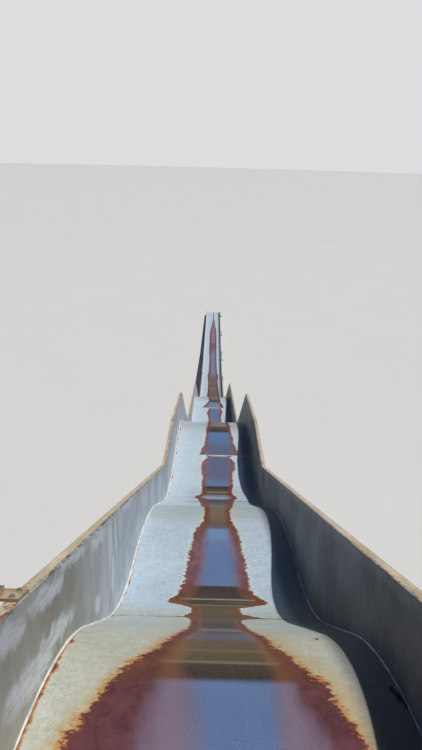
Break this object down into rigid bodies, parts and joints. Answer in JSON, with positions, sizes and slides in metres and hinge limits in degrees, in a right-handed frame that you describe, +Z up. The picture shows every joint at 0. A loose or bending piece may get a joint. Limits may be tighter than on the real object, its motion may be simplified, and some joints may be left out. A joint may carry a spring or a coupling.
{
  "type": "giant slide, 1:2 scale model",
  "caption": "Giant steel playground slide, half size: a wavy open chute on trestles, from a stair tower with a railed start platform down to a low run-out.",
  "frame": {"origin": "on the ground, at the middle of the footprint", "axes": "+Y is the way people slide, away from the stair tower; +X is to their right; +Z is up"},
  "size_m": [1.845, 28.82, 7.15],
  "materials": {
    "worn_steel": "galvanised sheet, polished and rusted along the middle by use",
    "galvanised_steel": "dull galvanised sheet with rubbed patches and a rust-stained weld",
    "cream_paint": "faded cream paint with rust spots",
    "grey_paint": "weathered grey paint",
    "chequer_plate": "galvanised chequer plate"
  },
  "bodies": {
    "root": {"bed_sheet_1": "worn_steel", "bed_sheet_2": "worn_steel", "bed_sheet_3": "worn_steel", "bed_sheet_4": "worn_steel", "bed_sheet_5": "worn_steel", "bed_sheet_6": "worn_steel", "bed_sheet_7": "worn_steel", "bed_sheet_8": "worn_steel", "bed_sheet_9": "worn_steel", "bed_sheet_10": "worn_steel", "bed_sheet_11": "worn_steel", "left_wall_1": "galvanised_steel", "left_wall_2": "galvanised_steel", "left_wall_3": "galvanised_steel", "left_wall_4": "galvanised_steel", "left_wall_5": "galvanised_steel", "left_wall_6": "galvanised_steel", "right_wall_1": "galvanised_steel", "right_wall_2": "galvanised_steel", "right_wall_3": "galvanised_steel", "right_wall_4": "galvanised_steel", "right_wall_5": "galvanised_steel", "right_wall_6": "galvanised_steel", "left_cap_rail_1": "cream_paint", "left_cap_rail_2": "cream_paint", "left_cap_rail_3": "cream_paint", "left_cap_rail_4": "cream_paint", "right_cap_rail_1": "cream_paint", "right_cap_rail_2": "cream_paint", "right_cap_rail_3": "cream_paint", "right_cap_rail_4": "cream_paint", "trestle_1": "grey_paint", "trestle_2": "grey_paint", "trestle_3": "grey_paint", "trestle_4": "grey_paint", "trestle_5": "grey_paint", "trestle_6": "grey_paint", "trestle_7": "grey_paint", "trestle_8": "grey_paint", "trestle_9": "grey_paint", "trestle_10": "grey_paint", "tower_left_side": "grey_paint", "tower_right_side": "grey_paint", "tower_front": "grey_paint", "tower_rear": "grey_paint", "centre_handrail": "grey_paint", "stair_flight_1": "grey_paint", "stair_flight_2": "grey_paint", "stair_flight_3": "grey_paint", "stair_flight_4": "grey_paint", "landing_1": "chequer_plate", "landing_2": "chequer_plate", "landing_3": "chequer_plate", "start_platform": "chequer_plate", "left_guard": "grey_paint", "right_guard": "grey_paint", "rear_guard": "grey_paint"}
  },
  "joints": []
}
